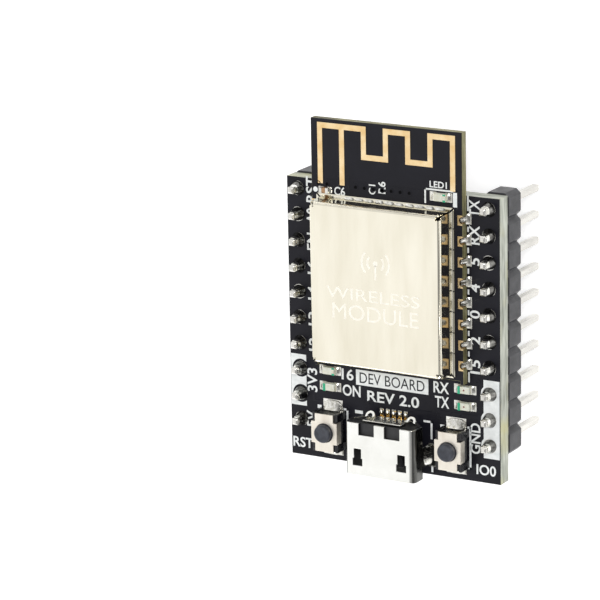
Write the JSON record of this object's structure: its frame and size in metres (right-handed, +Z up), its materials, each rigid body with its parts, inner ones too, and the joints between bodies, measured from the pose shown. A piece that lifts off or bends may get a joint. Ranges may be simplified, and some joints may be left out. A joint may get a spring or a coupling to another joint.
{
  "type": "microcontroller dev board",
  "caption": "Black microcontroller board on two pin headers, with a shielded radio module, printed antenna, micro-USB socket and two push buttons.",
  "frame": {"origin": "centre of the pin field, between the two pin rows, on the plane of the pin tips", "axes": "+Z up out of the component side, +Y towards the printed antenna, +X towards the serial pin row (TX, RX)"},
  "size_m": [0.0228, 0.0338, 0.0133],
  "materials": {
    "board_mask": "satin black solder mask on glass-fibre laminate",
    "header_plastic": "matt moulded black",
    "pin_metal": "bright tin plate",
    "solder": "bright solder",
    "track_gold": "pale gold plate",
    "can_metal": "satin nickel-silver sheet",
    "chip_plastic": "matt epoxy",
    "crystal_metal": "satin",
    "small_part": "sintered ceramic",
    "led_body": "cream epoxy",
    "usb_steel": "bright plated steel",
    "usb_plastic": "black",
    "contact_gold": "gold plate",
    "button_steel": "satin steel sheet",
    "button_plastic": "black",
    "plunger_plastic": "charcoal",
    "dome_steel": "spring steel",
    "leg_metal": "tin plate"
  },
  "bodies": {
    "board": {"carrier_board": "board_mask", "module_board": "board_mask", "header_left_housing": "header_plastic", "header_right_housing": "header_plastic", "header_left_pins": "pin_metal", "header_right_pins": "pin_metal", "header_left_solder": "solder", "header_right_solder": "solder", "module_left_solder": "solder", "module_right_solder": "solder", "usb_solder": "solder", "antenna_track": "track_gold", "shield_can": "can_metal", "radio_chip": "chip_plastic", "flash_chip": "chip_plastic", "crystal": "crystal_metal", "module_passives": "small_part", "antenna_capacitor": "small_part", "module_led": "led_body", "usb_shell": "usb_steel", "usb_insulator": "usb_plastic", "usb_contacts": "contact_gold", "user_led": "led_body", "power_led": "led_body", "receive_led": "led_body", "send_led": "led_body", "usb_bridge_chip": "chip_plastic", "usb_bridge_legs": "leg_metal", "voltage_regulator": "chip_plastic", "regulator_legs": "leg_metal", "reset_transistors": "chip_plastic", "transistor_legs": "leg_metal", "input_diode": "chip_plastic", "supply_capacitors": "small_part", "board_resistors": "chip_plastic", "reset_button_base": "button_plastic", "reset_button_cover": "button_steel", "reset_button_dome": "dome_steel", "reset_button_terminals": "leg_metal", "boot_button_base": "button_plastic", "boot_button_cover": "button_steel", "boot_button_dome": "dome_steel", "boot_button_terminals": "leg_metal"},
    "reset_plunger": {"reset_button_plunger": "plunger_plastic"},
    "boot_plunger": {"boot_button_plunger": "plunger_plastic"}
  },
  "joints": [
    {"name": "reset_press", "type": "slide", "parent": "board", "child": "reset_plunger", "axis": [0, 0, -1], "range_m": [0, 0.00025], "stiffness_N_per_m": 4000, "springref_m": -0.00005, "deforming": ["reset_button_dome"]},
    {"name": "boot_press", "type": "slide", "parent": "board", "child": "boot_plunger", "axis": [0, 0, -1], "range_m": [0, 0.00025], "stiffness_N_per_m": 4000, "springref_m": -0.00005, "deforming": ["boot_button_dome"]}
  ]
}
